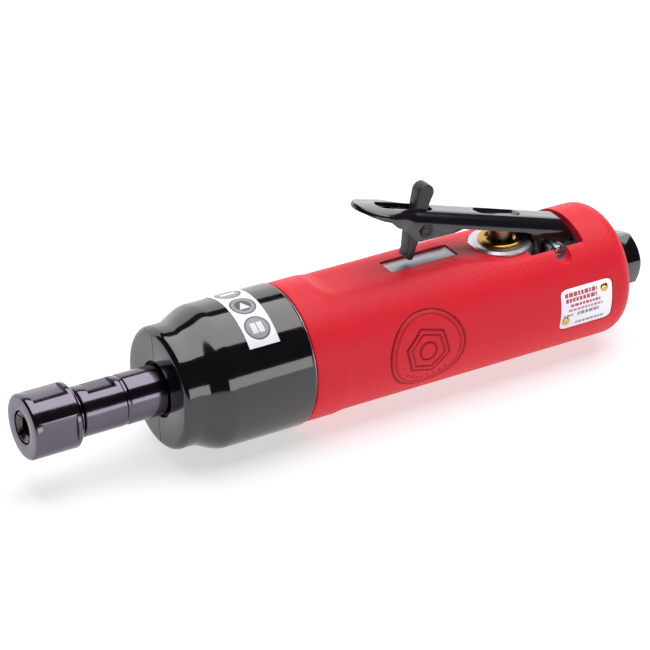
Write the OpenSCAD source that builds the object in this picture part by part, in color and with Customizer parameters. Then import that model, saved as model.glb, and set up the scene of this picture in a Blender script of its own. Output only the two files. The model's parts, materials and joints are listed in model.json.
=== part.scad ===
// Geared straight die grinder, air driven, with a rubber grip and a safety lever.
// X runs along the spindle: the collet faces -X and the air inlet faces +X.
// Z points up through the lever. The origin is on the spindle axis at the nut's front face.

/* [Collet and spindle] */
// Outer diameter of the collet nut
nut_d = 21.5; // [20.5:0.1:22.5]
// Length of the collet nut
nut_len = 16.7; // [16:0.1:17.2]
// Width across the nut's wrench flats
nut_flats = 19.3; // [18.6:0.1:19.8]
// Bore of the collet, the shank it holds
collet_bore = 6; // [3:0.5:6.5]
// Diameter of the spindle in front of the housing
spindle_d = 16.5; // [15.5:0.1:16.6]
// Width across the spindle's wrench flats
spindle_flats = 14; // [12.5:0.5:15]

/* [Front housing] */
// Where the front face of the housing stands
nose_x = 47.3; // [47:0.1:47.5]
// Radius of the nose around the bearings
nose_r = 20.3; // [19.8:0.1:20.8]
// Radius of the housing around the gears
cover_r = 23.85; // [23.6:0.05:24.2]
// Rear end of the front housing
cover_end = 92.6; // [92.4:0.1:92.7]

/* [Gears] */
// Module of the gear teeth
gear_m = 0.8; // [0.8:0.1:0.8]
// Teeth on the sun pinion
sun_teeth = 12; // [12:3:12]
// Teeth on each planet
planet_teeth = 15; // [15:3:15]
// Number of planets
planet_count = 3; // [3:1:3]

/* [Motor] */
// Radius of the rotor
rotor_r = 13.2; // [13:0.1:13.3]
// Number of vanes
vane_count = 5; // [4:1:6]
// Outer radius of the motor cylinder
liner_r = 16.95; // [16.9:0.01:16.97]

/* [Grip] */
// Radius of the grip
grip_r = 22.8; // [22.4:0.1:23.2]
// Rear end of the grip
grip_end = 217.6; // [217.2:0.1:217.8]
// Height of the flattened top of the grip
grip_flat_z = 21.1; // [20.8:0.1:21.4]

/* [Valve and lever] */
// Place of the throttle valve along the body
valve_x = 176.5; // [176:0.1:177]
// Place of the lever's pivot along the body
pivot_x = 192.5; // [192:0.1:193]
// Height of the lever's pivot
pivot_z = 16.2; // [16:0.1:16.4]
// Slope of the lever's top at rest, in degrees
lever_slope = 17.1; // [17:0.1:17.2]
// Half the width of the lever's channel
lever_half_w = 6.5; // [6.3:0.1:6.7]

/* [Air inlet] */
// Width across the flats of the inlet bush
inlet_flats = 17; // [16.5:0.5:17.5]
// Rear end of the inlet bush
inlet_end = 228.9; // [227:0.1:231]
// Radius of the inlet thread
inlet_thread_r = 5.7; // [5.5:0.1:6]

/* [Hidden] */
$fn = 96;
gap = 0.05;             // running clearance of pins
backlash = 1.2;         // taken off each side of a tooth, in degrees
eps = 0.2;              // overrun of a cutter past the face that it cuts

nut_turn = 3.3;         // how far the nut stands turned from square, in degrees
shaft_r = spindle_d / 2;
seat_r = 8.47;          // spindle where it carries its bearings
race_w = 8.6;
brg_x = [50.6, 60.8];   // front faces of the two spindle bearings
brg_pitch = 13;
brg_ball = 2.38;
gear_x0 = 74;           // front face of the planets
gear_w = 11;
orbit_r = gear_m * (sun_teeth + planet_teeth) / 2;
ring_teeth = sun_teeth + 2 * planet_teeth;
carrier_r = 15.2;
pin_r = 2;

rotor_x0 = 101;
rotor_x1 = 144;
bore_r = 14.5;          // bore of the motor cylinder
bore_drop = 1.2;        // how far that bore lies below the rotor's axis
front_brg = [89.6, 8, 6, 14, 10, 2.38, 8];     // start, width, bore, outer, pitch, ball, count
rear_brg = [147.6, 7, 4, 11, 7.5, 1.98, 7];

body_r = 19.8;          // aluminium motor housing inside the grip
body_bore = 17;
body_end = 213;
trench_z = 18.45;       // floor of the cut-out in the grip beside the valve
trench_x1 = 200;
plate_r = 22.65;        // outer radius of the nameplate as it lies on the grip

tip_x = 118.3;          // on the lever's top centre line, 2 mm ahead of its tip
tip_z = 47.85;
sheet_t = 1.6;
tab_x = 143.6;          // pivot of the lock tab
tab_z = 34.2;
tab_half = 2.3;
tab_pin_r = 1.4;
lever_pin_r = 1.8;

// ---------- helpers ----------

// Turns a shape built along Z so that it lies along X.
module along_x(x0 = 0) {
    translate([x0, 0, 0]) rotate([0, 90, 0]) children();
}

// Solid of revolution about X. Points are [x, r].
module lathe(points) {
    rotate([0, 90, 0]) rotate_extrude() polygon([for (p = points) [p[1], p[0]]]);
}

// Round bar along X between two stations.
module bar(x0, x1, r) {
    along_x(x0) cylinder(h = x1 - x0, r = r);
}

// Tube along X between two stations.
module tube(x0, x1, r_in, r_out) {
    difference() {
        bar(x0, x1, r_out);
        bar(x0 - eps, x1 + eps, r_in);
    }
}

// Side profile in X and Z, given a thickness in Y about the middle.
module side_profile(half_w) {
    translate([0, half_w, 0]) rotate([90, 0, 0]) linear_extrude(2 * half_w) children();
}

// A flat slab that keeps only what lies inside a pair of wrench flats.
module flats_cut(x0, x1, across, turn) {
    rotate([turn, 0, 0])
        for (side = [-1, 1])
            translate([x0, -20, side > 0 ? across / 2 : -across / 2 - 10]) cube([x1 - x0, 40, 10]);
}

// Points of an arc in [x, r] form.
function arc(cx, cr, r, a0, a1, n) = [for (i = [0 : n]) let (a = a0 + (a1 - a0) * i / n)
    [cx + r * cos(a), cr + r * sin(a)]];

// ---------- gears ----------

// Half-thickness angle of a tooth at radius r, less the backlash.
function tooth_half(teeth, r) =
    let (pitch = gear_m * teeth / 2)
    90 / teeth - backlash + (pitch - r) / pitch * 240 / (teeth + 4);

// Outline of an external gear with a tooth centred on angle 0.
function gear_points(teeth, root, tip) = [for (i = [0 : teeth - 1], k = [-1, 1], j = [0 : 2])
    let (step = k < 0 ? j : 2 - j,
         r = root + (tip - root) * step / 2,
         a = 360 * i / teeth + k * tooth_half(teeth, r))
    [r * cos(a), r * sin(a)]];

// Outline of the space inside a ring gear, with a space centred on angle 0.
function ring_points(teeth, tip, root) = [for (i = [0 : teeth - 1], k = [-1, 1], j = [0 : 1])
    let (step = k < 0 ? j : 1 - j,
         r = tip + (root - tip) * step,
         half = 90 / teeth + 0.35 - (r - gear_m * teeth / 2) * 360 / (PI * gear_m * teeth) * 0.36,
         a = 360 * i / teeth + k * half)
    [r * cos(a), r * sin(a)]];

module planet_gear(i) {
    pitch = gear_m * planet_teeth / 2;
    rotate([360 * (i - 1) / planet_count, 0, 0]) translate([0, 0, orbit_r])
        color("dimgray") difference() {
            along_x(gear_x0) rotate([0, 0, 180]) linear_extrude(gear_w)
                polygon(gear_points(planet_teeth, pitch - gear_m, pitch + gear_m * 0.85));
            bar(gear_x0 - eps, gear_x0 + gear_w + eps, pin_r + gap);
        }
}

module ring_gear() {
    pitch = gear_m * ring_teeth / 2;
    color("gray") difference() {
        bar(73.6, 86.4, 20.95);
        along_x(73.6 - eps) rotate([0, 0, 180]) linear_extrude(12.8 + 2 * eps)
            polygon(ring_points(ring_teeth, pitch - gear_m * 0.85, pitch + gear_m));
    }
}

// ---------- bearings ----------

// One race of a ball bearing, with a groove for the balls.
module race(x0, w, r_in, r_out, pitch, ball) {
    along_x() rotate_extrude() difference() {
        translate([r_in, x0]) square([r_out - r_in, w]);
        translate([pitch, x0 + w / 2]) circle(r = ball + 0.08, $fn = 48);
    }
}

module ball_ring(x0, w, pitch, ball, count) {
    for (i = [0 : count - 1])
        rotate([360 * i / count, 0, 0]) translate([x0 + w / 2, 0, pitch]) sphere(r = ball, $fn = 32);
}

module cage(x0, w, pitch, ball, count) {
    half = ball + 0.75;
    difference() {
        tube(x0 + w / 2 - half, x0 + w / 2 + half, pitch - 0.6, pitch + 0.6);
        for (i = [0 : count - 1])
            rotate([360 * i / count, 0, 0]) translate([x0 + w / 2, 0, pitch])
                cylinder(h = 6, r = ball + 0.1, center = true, $fn = 32);
    }
}

module inner_race(b) {
    race(b[0], b[1], b[2], b[4] - b[5] * 0.6, b[4], b[5]);
}

module outer_race(b) {
    race(b[0], b[1], b[4] + b[5] * 0.6, b[3], b[4], b[5]);
}

module spindle_inner_races() {
    color("silver") for (x = brg_x) inner_race([x, race_w, 8.5, 17.5, brg_pitch, brg_ball]);
}

module spindle_outer_races() {
    color("silver") for (x = brg_x) outer_race([x, race_w, 8.5, 17.45, brg_pitch, brg_ball]);
}

module spindle_bearing_balls() {
    color("gainsboro") for (x = brg_x) ball_ring(x, race_w, brg_pitch, brg_ball, 10);
}

module spindle_bearing_cages() {
    color("goldenrod") for (x = brg_x) cage(x, race_w, brg_pitch, brg_ball, 10);
}

module rotor_inner_races() {
    color("silver") for (b = [front_brg, rear_brg]) inner_race(b);
}

module rotor_outer_races() {
    color("silver") for (b = [front_brg, rear_brg]) outer_race(b);
}

module rotor_bearing_balls() {
    color("gainsboro") for (b = [front_brg, rear_brg]) ball_ring(b[0], b[1], b[4], b[5], b[6]);
}

module rotor_bearing_cages() {
    color("goldenrod") for (b = [front_brg, rear_brg]) cage(b[0], b[1], b[4], b[5], b[6]);
}

// ---------- collet, nut and spindle ----------

module collet_nut() {
    r = nut_d / 2;
    color("#2b2830") difference() {
        lathe([[0, 5.55], [0, r - 0.5], [0.5, r], [nut_len - 1, r], [nut_len, r - 0.9], [nut_len, 7.1],
               [4.6, 7.1], [4.6, 6.7], [2.5, 5.55]]);
        flats_cut(2.6, nut_len - 2.2, nut_flats, -nut_turn);
        flats_cut(2.6, nut_len - 2.2, nut_flats, 90 - nut_turn);
    }
}

module collet() {
    color("#3b3b40") difference() {
        lathe([[0, collet_bore / 2], [0, 4.9], [0.2, 5.1], [2.6, 5.2], [4.4, 6.2], [5.4, 6.2], [12.4, 5.0],
               [20, 5.0], [20, collet_bore / 2]]);
        for (turn = [0, 90])
            rotate([turn, 0, 0]) translate([-eps, -0.35, -7]) cube([14, 0.7, 14]);
    }
}

module output_spindle() {
    color("#2b2830") difference() {
        lathe([[5.2, 6.4], [5.2, 6.8], [5.6, 7.03], [18.2, 7.03], [18.2, shaft_r - 0.4], [18.6, shaft_r],
               [33.2, shaft_r], [33.5, shaft_r - 0.4], [34.3, shaft_r - 0.4], [34.6, shaft_r],
               [50.3, shaft_r], [50.4, seat_r], [69.6, seat_r], [69.6, 11], [70.2, 11],
               [70.2, carrier_r], [73.2, carrier_r], [73.2, 0], [30, 0], [28, 4], [21, 4],
               [21, 5.1], [12.5, 5.1]]);
        flats_cut(21.6, 31.5, spindle_flats, -7);
        for (i = [0 : planet_count - 1])
            rotate([360 * i / planet_count, 0, 0]) translate([0, 0, orbit_r]) bar(70, 73.4, pin_r + 0.01);
    }
}

module planet_pins() {
    color("lightgray") for (i = [0 : planet_count - 1])
        rotate([360 * i / planet_count, 0, 0]) translate([0, 0, orbit_r]) bar(70.4, 87.1, pin_r);
}

module carrier_plate() {
    color("#4a4a50") difference() {
        tube(85.3, 87.1, 6.4, carrier_r);
        for (i = [0 : planet_count - 1])
            rotate([360 * i / planet_count, 0, 0]) translate([0, 0, orbit_r]) bar(85, 87.4, pin_r + 0.01);
    }
}

// ---------- front housing ----------

// Radius of the flared shoulder between the nose and the gear housing.
function shoulder_r(t) = nose_r - 0.1 + (cover_r - nose_r + 0.1) * (1 - cos(180 * t)) / 2;

module front_housing() {
    shoulder = [for (i = [0 : 12]) [53 + 11.6 * i / 12, shoulder_r(i / 12)]];
    color("#1b181c") lathe(concat(
        [[nose_x, 9.4], [nose_x, nose_r - 2.4]],
        arc(nose_x + 2.4, nose_r - 2.4, 2.4, 170, 90, 5),
        shoulder,
        [[cover_end - 1.3, cover_r]],
        arc(cover_end - 1.3, cover_r - 1.3, 1.3, 70, 10, 3),
        [[cover_end, 21], [73.5, 21], [73.5, 17.5], [50.5, 17.5], [50.5, 12], [48.6, 12], [48.6, 9.4]]));
}

module front_seal() {
    color("#141214") lathe([[48.7, 8.35], [48.7, 11.9], [50.3, 11.9], [50.3, 9.2], [49.6, 8.35]]);
}

module bearing_spacer() {
    color("silver") tube(59.3, 60.7, 15.4, 17.4);
}

module cover_label() {
    color("white") rotate([0, 90, 0]) translate([0, 0, 71.3]) rotate([0, 0, 149])
        rotate_extrude(angle = 79) translate([cover_r, 0]) square([0.15, 10.9]);
}

// ---------- motor ----------

module front_end_plate() {
    color("#8a8a90") lathe([[87.6, 14.05], [87.6, liner_r], [100.8, liner_r], [100.8, 7],
                            [97.8, 7], [97.8, 14.05]]);
}

module motor_cylinder() {
    color("#77777c") difference() {
        bar(100.9, 144.1, liner_r);
        translate([0, 0, -bore_drop]) bar(100.5, 144.5, bore_r);
        // exhaust slots along the bottom
        for (i = [0 : 4]) translate([108 + 6.2 * i, -7, -20]) cube([2, 14, 10]);
        // inlet kidneys cut in the rear end
        for (side = [-1, 1]) translate([140, side * 11 - 1.5, 5]) cube([5, 3, 5]);
    }
}

module rotor() {
    tip = gear_m * (sun_teeth / 2 + 0.85);
    color("#5a5a60") {
        difference() {
            lathe([[86.2, 0], [86.2, 5.2], [89, 5.2], [89.2, 5.97], [97.9, 5.97], [98, 6.6], [rotor_x0, 6.6],
                   [rotor_x0, rotor_r], [rotor_x1, rotor_r], [rotor_x1, 5.4], [147.4, 5.4],
                   [147.4, 3.97], [156.4, 3.97], [156.8, 3.5], [156.8, 0]]);
            for (i = [0 : vane_count - 1])
                rotate([360 * i / vane_count + 18, 0, 0])
                    translate([rotor_x0 - eps, -0.8, 5.7]) cube([rotor_x1 - rotor_x0 + 2 * eps, 1.6, 10]);
        }
        along_x(73.9) rotate([0, 0, 180]) linear_extrude(12.4)
            polygon(gear_points(sun_teeth, gear_m * (sun_teeth / 2 - 1.1), tip));
    }
}

module rotor_vanes() {
    color("#7a5a38") for (i = [0 : vane_count - 1])
        rotate([360 * i / vane_count + 18, 0, 0])
            translate([rotor_x0 + 0.1, -0.75, 5.9]) cube([rotor_x1 - rotor_x0 - 0.2, 1.5, 7.1]);
}

module rear_end_plate() {
    color("#8a8a90") difference() {
        lathe([[144.2, 6], [144.2, liner_r], [155, liner_r], [155, 11.05], [147.5, 11.05], [147.5, 6]]);
        for (side = [-1, 1]) translate([0, side * 11, 7]) bar(143.9, 155.3, 1.4);
    }
}

// ---------- motor housing ----------

module motor_housing() {
    color("#c9cacd") difference() {
        union() {
            lathe([[86.6, body_bore], [86.6, 20.9], [cover_end + 0.02, 20.9], [cover_end + 0.02, 22.6],
                   [cover_end + 0.28, 22.6], [cover_end + 0.28, body_r], [body_end, body_r],
                   [body_end, 9], [199, 9], [199, 0],
                   [155.2, 0], [155.2, body_bore]]);
            translate([valve_x, 0, 0]) rotate_extrude()
                polygon([[0, 0], [10.7, 0], [10.7, 19.2], [9.9, 20], [0, 20]]);
        }
        // valve bore, with a step for the flange of the bush
        translate([valve_x, 0, -6.2]) cylinder(h = 30, r = 7);
        // air from the inlet to the valve, and from the valve to the motor
        translate([0, 0, -1]) bar(valve_x, 199.5, 3.5);
        translate([0, 0, 10.6]) bar(154, valve_x, 2);
        // air gallery behind the rear end plate, and room for the end of the rotor shaft
        tube(155, 157.5, 11.3, 14.6);
        bar(154, 158, 6.5);
        // exhaust passages along the lower half, to a gallery at the rear end
        for (a = [-60 : 30 : 60])
            rotate([180 + a, 0, 0]) translate([0, 0, 16.6]) bar(104, 210, 1.5);
        tube(208, body_end + eps, 11, 18.2);
        // pocket for the ears of the lever, and the cross hole of its pin
        translate([184.4, -7.2, 9.6]) cube([18, 14.4, 20]);
        translate([pivot_x, 0, pivot_z]) rotate([90, 0, 0]) cylinder(h = 50, r = lever_pin_r, center = true);
        for (side = [-1, 1]) translate([pivot_x, side * 14.4, pivot_z]) rotate([90, 0, 0])
            cylinder(h = 10, r = 2.8, center = true);
        // floor under the rear of the lever, either side of the lugs that hold its pin
        difference() {
            translate([180.5, -13, 13.8]) cube([20.7, 26, 10]);
            translate([valve_x, 0, 0]) cylinder(h = 30, r = 10.7);
            translate([189.8, -30, 0]) cube([5.4, 60, 17.3]);
        }
    }
}

// ---------- grip ----------

module grip_sleeve() {
    e = grip_end;
    color("#e22d3c") difference() {
        lathe(concat([[92.9, body_r + 0.05], [92.9, grip_r + 0.2], [93.3, grip_r + 0.5],
                      [104, grip_r + 0.5], [108, grip_r]],
                     [for (a = [90 : -13 : 12]) [e - 7.3 + 7.3 * cos(a), grip_r - 7.6 + 7.6 * sin(a)]],
                     [[e, 16.3], [body_end + 0.1, 16.3], [body_end + 0.1, body_r + 0.05]]));
        // flattened top, stepping down to the cut-out around the valve
        side_profile(30) polygon([[102, 26], [103, 23.5], [109, grip_flat_z], [156, grip_flat_z],
                                  [160, 20.4], [173, trench_z], [trench_x1 + 1.4, trench_z],
                                  [trench_x1, 26]]);
        // round the valve boss and the rear of the lever
        translate([valve_x, 0, 10]) cylinder(h = 20, r = 11);
        translate([180.5, -13, 13]) cube([20.7, 26, 20]);
        translate([182, -7.8, 8]) cube([20.8, 15.6, 10.5]);
        // seats of the wear strip and the nameplate
        translate([131.9, -4.1, 19.3]) cube([25.8, 8.2, 4]);
        plate_shape(186.4, 207.2, 14.95, 22.25, 30);
        rivet_places() cylinder(h = 6, r = 0.8, center = true, $fn = 24);
        // notches over the ends of the lever's pin
        for (side = [-1, 1]) translate([pivot_x - 0.9, side * 18, pivot_z + 0.8]) rotate([90, 0, 0])
            cylinder(h = 10.4, r = 2.8, center = true);
    }
}

module wear_strip() {
    color("#b9babd") translate([132.2, -3.8, 19.82]) cube([25.2, 7.6, 0.58]);
}

// A rounded plate wrapped on the -Y side of the grip.
module plate_shape(x0, x1, height, r_in, r_out) {
    intersection() {
        tube(x0, x1, r_in, r_out);
        translate([(x0 + x1) / 2, 0, -0.15]) rotate([90, 0, 0]) linear_extrude(40)
            union() {
                square([x1 - x0 - 4, height], center = true);
                square([x1 - x0, height - 4], center = true);
                for (i = [-1, 1], k = [-1, 1])
                    translate([i * ((x1 - x0) / 2 - 2), k * (height / 2 - 2)]) circle(r = 2, $fn = 32);
            }
    }
}

module nameplate() {
    color("#d8d9dc") difference() {
        plate_shape(186.6, 207, 14.75, plate_r - 0.35, plate_r);
        rivet_places() cylinder(h = 8, r = 0.8, center = true, $fn = 24);
    }
}

module rivet_places() {
    for (p = [[203.9, 4.6], [188.8, -4.3]])
        translate([p[0], 0, 0]) rotate([90 - asin(p[1] / plate_r), 0, 0])
            translate([0, 0, plate_r]) children();
}

module nameplate_rivets() {
    color("#c9a95a") rivet_places() {
        rotate_extrude($fn = 32) polygon([[0, -2.2], [0.75, -2.2], [0.75, 0], [1.5, 0], [1.3, 0.35],
                                         [0.7, 0.6], [0, 0.65]]);
    }
}

// ---------- throttle valve ----------

module valve_bush() {
    color("#caa24a") difference() {
        translate([valve_x, 0, 0]) rotate_extrude() polygon([
            [5.2, -6], [6.95, -6], [6.95, -4.6], [6, -4.6], [6, -3], [6.95, -3], [6.95, 15], [6, 15],
            [6, 16.6], [6.95, 16.6], [6.95, 20.05], [7.5, 20.05], [7.5, 20.6], [7.1, 21], [4.6, 21],
            [4.05, 20.6], [4.05, 13], [5.2, 13], [5.2, 8.6], [2.8, 8.6], [2.8, 7.2], [5.2, 7.2]]);
        translate([0, 0, -1]) bar(valve_x, valve_x + 9, 2.4);
        translate([0, 0, 10.6]) bar(valve_x - 9, valve_x, 1.9);
    }
}

module valve_o_rings() {
    color("#141214") for (z = [-3.8, 15.8])
        translate([valve_x, 0, z]) rotate_extrude() translate([6.48, 0]) circle(r = 0.48, $fn = 24);
}

module valve_plunger() {
    dome_z = 23.9;
    color("#6a5a48") translate([valve_x, 0, 0]) rotate_extrude() polygon(concat(
        [[0, 4.9], [4.4, 4.9], [4.4, 6.6], [3.9, 7.1], [1.5, 7.1], [1.5, 13.6], [3.5, 13.6], [3.98, 14.1]],
        [for (i = [0 : 9]) [3.98 * cos(10 * i), dome_z + 3.98 * sin(10 * i)]]));
}

// A helical wire spring about Z. Rings of points are swept along the helix.
module helix_spring(r, wire, z0, z1, turns) {
    sides = 8;
    steps = turns * 16;
    points = [for (i = [0 : steps], k = [0 : sides - 1])
        let (a = 360 * turns * i / steps, b = 360 * k / sides)
        [(r + wire * cos(b)) * cos(a), (r + wire * cos(b)) * sin(a),
         z0 + (z1 - z0) * i / steps + wire * sin(b)]];
    sides_of = [for (i = [0 : steps - 1], k = [0 : sides - 1])
        let (n = (k + 1) % sides)
        [i * sides + k, (i + 1) * sides + k, (i + 1) * sides + n, i * sides + n]];
    ends = [[for (k = [0 : sides - 1]) k], [for (k = [0 : sides - 1]) steps * sides + sides - 1 - k]];
    polyhedron(points = points, faces = concat(sides_of, ends), convexity = 6);
}

module valve_spring() {
    color("silver") translate([valve_x, 0, 0]) helix_spring(3.6, 0.45, -5.5, 4.4, 6);
}

// ---------- lever ----------

// Height of the lever's top centre line over a station along the body.
function lever_top(x) = tip_z - tan(lever_slope) * (x - tip_x);

// Cross-section of the pressed channel: a round-cornered arch with open bottom.
module channel_section(half_w, corner, depth) {
    polygon(concat(
        [[-half_w, -depth]],
        arc(corner - half_w, -corner, corner, 180, 90, 8),
        arc(half_w - corner, -corner, corner, 90, 0, 8),
        [[half_w, -depth]]));
}

// Outline of the lever seen from above, in its own sloping plane.
module lever_plan() {
    polygon(concat(
        [for (i = [0 : 12]) let (a = 180 - 7.5 * i) [11 + 9 * cos(a), 7.9 * sin(a)]],
        [[15, 7.9], [18.5, 7.5], [22, lever_half_w + 0.2], [25, lever_half_w], [95, lever_half_w],
         [95, -lever_half_w], [25, -lever_half_w], [22, -lever_half_w - 0.2], [18.5, -7.5], [15, -7.9]],
        [for (i = [0 : 11]) let (a = -90 - 7.5 * i) [11 + 9 * cos(a), 7.9 * sin(a)]]));
}

// Slot with round ends, cut through the lever's top.
module lever_slot(s0, s1, half_w) {
    for (s = [s0 + half_w, s1 - half_w]) translate([s, 0, -7]) cylinder(h = 10, r = half_w, $fn = 40);
    translate([s0 + half_w, -half_w, -7]) cube([s1 - s0 - 2 * half_w, 2 * half_w, 10]);
}

module throttle_lever() {
    color("#1d1a20") difference() {
        union() {
            translate([tip_x, 0, tip_z]) rotate([0, lever_slope, 0]) difference() {
                union() {
                    // crowned paddle at the front
                    intersection() {
                        translate([0, 0, -8]) linear_extrude(10) lever_plan();
                        translate([-1, 0, -31]) rotate([0, 90, 0]) difference() {
                            cylinder(h = 27, r = 31, $fn = 160);
                            translate([0, 0, -eps]) cylinder(h = 28, r = 31 - sheet_t, $fn = 160);
                        }
                    }
                    // channel from the neck to the rear end
                    translate([15, 0, 0]) rotate([90, 0, 90]) linear_extrude(67.8) difference() {
                        channel_section(lever_half_w, 4.5, 5.4);
                        translate([0, -sheet_t]) channel_section(lever_half_w - sheet_t, 3.2, 9);
                    }
                }
                lever_slot(10, 32.2, 2.8);
            }
            // cheeks that carry the lock tab
            for (side = [-1, 1]) translate([0, side * (lever_half_w - sheet_t / 2), 0])
                side_profile(sheet_t / 2) union() {
                    translate([tab_x, tab_z]) circle(r = 3);
                    polygon([[134.2, lever_top(134.2) - 3], [135, 36.8], [140.2, 30.9], [141, 30.5],
                             [154.5, 30.3], [159, 31], [159.8, lever_top(159.8) - 3]]);
                }
            // ears down to the pivot
            for (side = [-1, 1]) translate([0, side * (lever_half_w - sheet_t / 2), 0])
                side_profile(sheet_t / 2) union() {
                    translate([pivot_x, pivot_z]) circle(r = 4.6);
                    polygon([[184.6, lever_top(184.6) - 4], [186.6, 14.6], [pivot_x, pivot_z - 4.6],
                             [pivot_x + 4.5, pivot_z - 1], [200.3, 17.2], [198.6, 21.8],
                             [196.2, lever_top(196.2) - 1.8]]);
                }
        }
        translate([tab_x, 0, tab_z]) rotate([90, 0, 0]) cylinder(h = 30, r = tab_pin_r, center = true);
        translate([pivot_x, 0, pivot_z]) rotate([90, 0, 0])
            cylinder(h = 30, r = lever_pin_r + gap, center = true);
    }
}

module lever_pin() {
    color("silver") translate([pivot_x, 0, pivot_z]) rotate([90, 0, 0])
        cylinder(h = 23.2, r = lever_pin_r - 0.01, center = true);
}

module lock_tab() {
    foot_r = 12.5;      // reach of the foot from the pivot, short enough to swing past the strip
    lean = 16.5;
    color("#242126") translate([tab_x, 0, tab_z]) difference() {
        side_profile(tab_half) polygon(concat(
            arc(2.3, 11.1, 2.9, 170, -20, 14),
            [[2.8, 4.4]],
            arc(0, 0, 2.9, 30, -60, 6),
            [[-1.6, -7.6], [-2.4, -11.6], [-foot_r * sin(lean), -foot_r * cos(lean)],
             [-5.6, -10.3], [-4.5, -8.6], [-4.2, -2.2], [-2.7, 0.7]]));
        rotate([90, 0, 0]) cylinder(h = 10, r = tab_pin_r + gap, center = true);
    }
}

module lock_tab_pin() {
    color("#3a363c") translate([tab_x, 0, tab_z]) rotate([90, 0, 0]) {
        cylinder(h = 2 * lever_half_w, r = tab_pin_r - 0.01, center = true);
        for (side = [-1, 1]) translate([0, 0, side * (lever_half_w + 0.3)])
            cylinder(h = 0.6, r = 2.3, center = true);
    }
}

module lock_tab_spring() {
    color("silver") translate([tab_x, 0, tab_z]) rotate([90, 0, 0])
        helix_spring(2.1, 0.28, 2.8, 4.5, 3);
}

// ---------- air inlet and exhaust ----------

module inlet_bush() {
    corner = inlet_flats / sqrt(3);
    color("#1d1a20") difference() {
        union() {
            bar(199.2, 217.7, 8.95);
            intersection() {
                along_x(217.6) rotate([0, 0, 14.7]) cylinder(h = inlet_end - 217.6, r = corner, $fn = 6);
                lathe([[217.6, 0], [217.6, corner + 1], [inlet_end - 1.5, corner + 1],
                       [inlet_end, inlet_flats / 2 - 0.2], [inlet_end, 0]]);
            }
        }
        bar(198, 214, 4.5);
        bar(213, inlet_end + eps, inlet_thread_r);
        lathe([[inlet_end - 0.8, 0], [inlet_end - 0.8, inlet_thread_r],
               [inlet_end + 0.1, inlet_thread_r + 0.9], [inlet_end + 0.1, 0]]);
    }
}

module inlet_screen() {
    color("silver") difference() {
        bar(211.5, 212.25, 4.45);
        for (ring = [0 : 1], i = [0 : (ring == 0 ? 0 : 5)])
            rotate([60 * i, 0, 0]) translate([0, 0, 2.7 * ring]) bar(211.2, 212.5, 0.95);
    }
}

module exhaust_deflector() {
    color("#2a2a2e") difference() {
        tube(213.15, 215.9, 9.1, 16.2);
        for (i = [0 : 11])
            rotate([30 * i, 0, 0]) translate([0, 0, 12.7]) bar(212.9, 216.2, 1.9);
    }
}

collet_nut();
collet();
output_spindle();
planet_pins();
carrier_plate();
spindle_inner_races();
spindle_outer_races();
spindle_bearing_balls();
spindle_bearing_cages();
front_housing();
front_seal();
bearing_spacer();
ring_gear();
planet_gear(1);  // planet_gear_1
planet_gear(2);  // planet_gear_2
planet_gear(3);  // planet_gear_3
front_end_plate();
motor_cylinder();
rotor();
rotor_vanes();
rear_end_plate();
rotor_inner_races();
rotor_outer_races();
rotor_bearing_balls();
rotor_bearing_cages();
motor_housing();
grip_sleeve();
wear_strip();
nameplate();
nameplate_rivets();
cover_label();
valve_bush();
valve_o_rings();
valve_plunger();
valve_spring();
throttle_lever();
lever_pin();
lock_tab();
lock_tab_pin();
lock_tab_spring();
inlet_bush();
inlet_screen();
exhaust_deflector();
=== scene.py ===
"""Looks of a geared straight die grinder, built around its packed engineering model.

Everything stands in the model's own frame: X along the spindle with the collet at -X, Z up
through the throttle lever, and the origin on the spindle axis at the front face of the nut.
Shapes are worked out in millimetres and turned to metres where a mesh is made.
"""

import json
import logging
import math
from dataclasses import dataclass
from enum import Enum
from typing import Callable, Optional, Sequence

import bmesh
import bpy
import numpy as np
from mathutils import Euler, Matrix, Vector


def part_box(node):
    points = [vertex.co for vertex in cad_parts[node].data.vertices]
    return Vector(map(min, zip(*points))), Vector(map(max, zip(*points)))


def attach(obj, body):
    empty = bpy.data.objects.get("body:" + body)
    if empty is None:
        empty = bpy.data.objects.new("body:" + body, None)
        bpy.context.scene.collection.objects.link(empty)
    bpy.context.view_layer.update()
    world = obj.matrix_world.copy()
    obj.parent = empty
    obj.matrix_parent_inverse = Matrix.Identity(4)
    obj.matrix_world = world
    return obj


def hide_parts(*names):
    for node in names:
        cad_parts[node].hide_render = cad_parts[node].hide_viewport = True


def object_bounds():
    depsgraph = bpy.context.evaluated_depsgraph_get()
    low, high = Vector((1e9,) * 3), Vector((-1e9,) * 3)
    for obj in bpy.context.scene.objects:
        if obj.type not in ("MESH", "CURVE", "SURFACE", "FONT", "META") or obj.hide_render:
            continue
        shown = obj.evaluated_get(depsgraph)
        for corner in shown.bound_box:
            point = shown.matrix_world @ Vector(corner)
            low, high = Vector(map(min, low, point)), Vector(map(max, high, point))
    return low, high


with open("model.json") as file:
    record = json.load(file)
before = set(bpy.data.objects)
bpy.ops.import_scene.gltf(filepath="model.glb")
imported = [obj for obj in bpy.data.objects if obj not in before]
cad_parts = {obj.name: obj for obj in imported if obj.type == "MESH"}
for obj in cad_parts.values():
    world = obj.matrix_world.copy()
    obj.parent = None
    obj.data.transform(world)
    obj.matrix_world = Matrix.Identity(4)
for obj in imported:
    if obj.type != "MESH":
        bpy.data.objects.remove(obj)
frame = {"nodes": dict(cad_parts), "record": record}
cad_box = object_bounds()

LOG = logging.getLogger("die_grinder")
MM = 0.001
BODY_OF = {n: body for body, nodes in frame["record"]["behaviour"]["bodies"].items() for n in nodes}
SLOT_OF = {part["node"]: part["material_slot"] for part in frame["record"]["subparts"]}

Point = Sequence[float]

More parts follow.
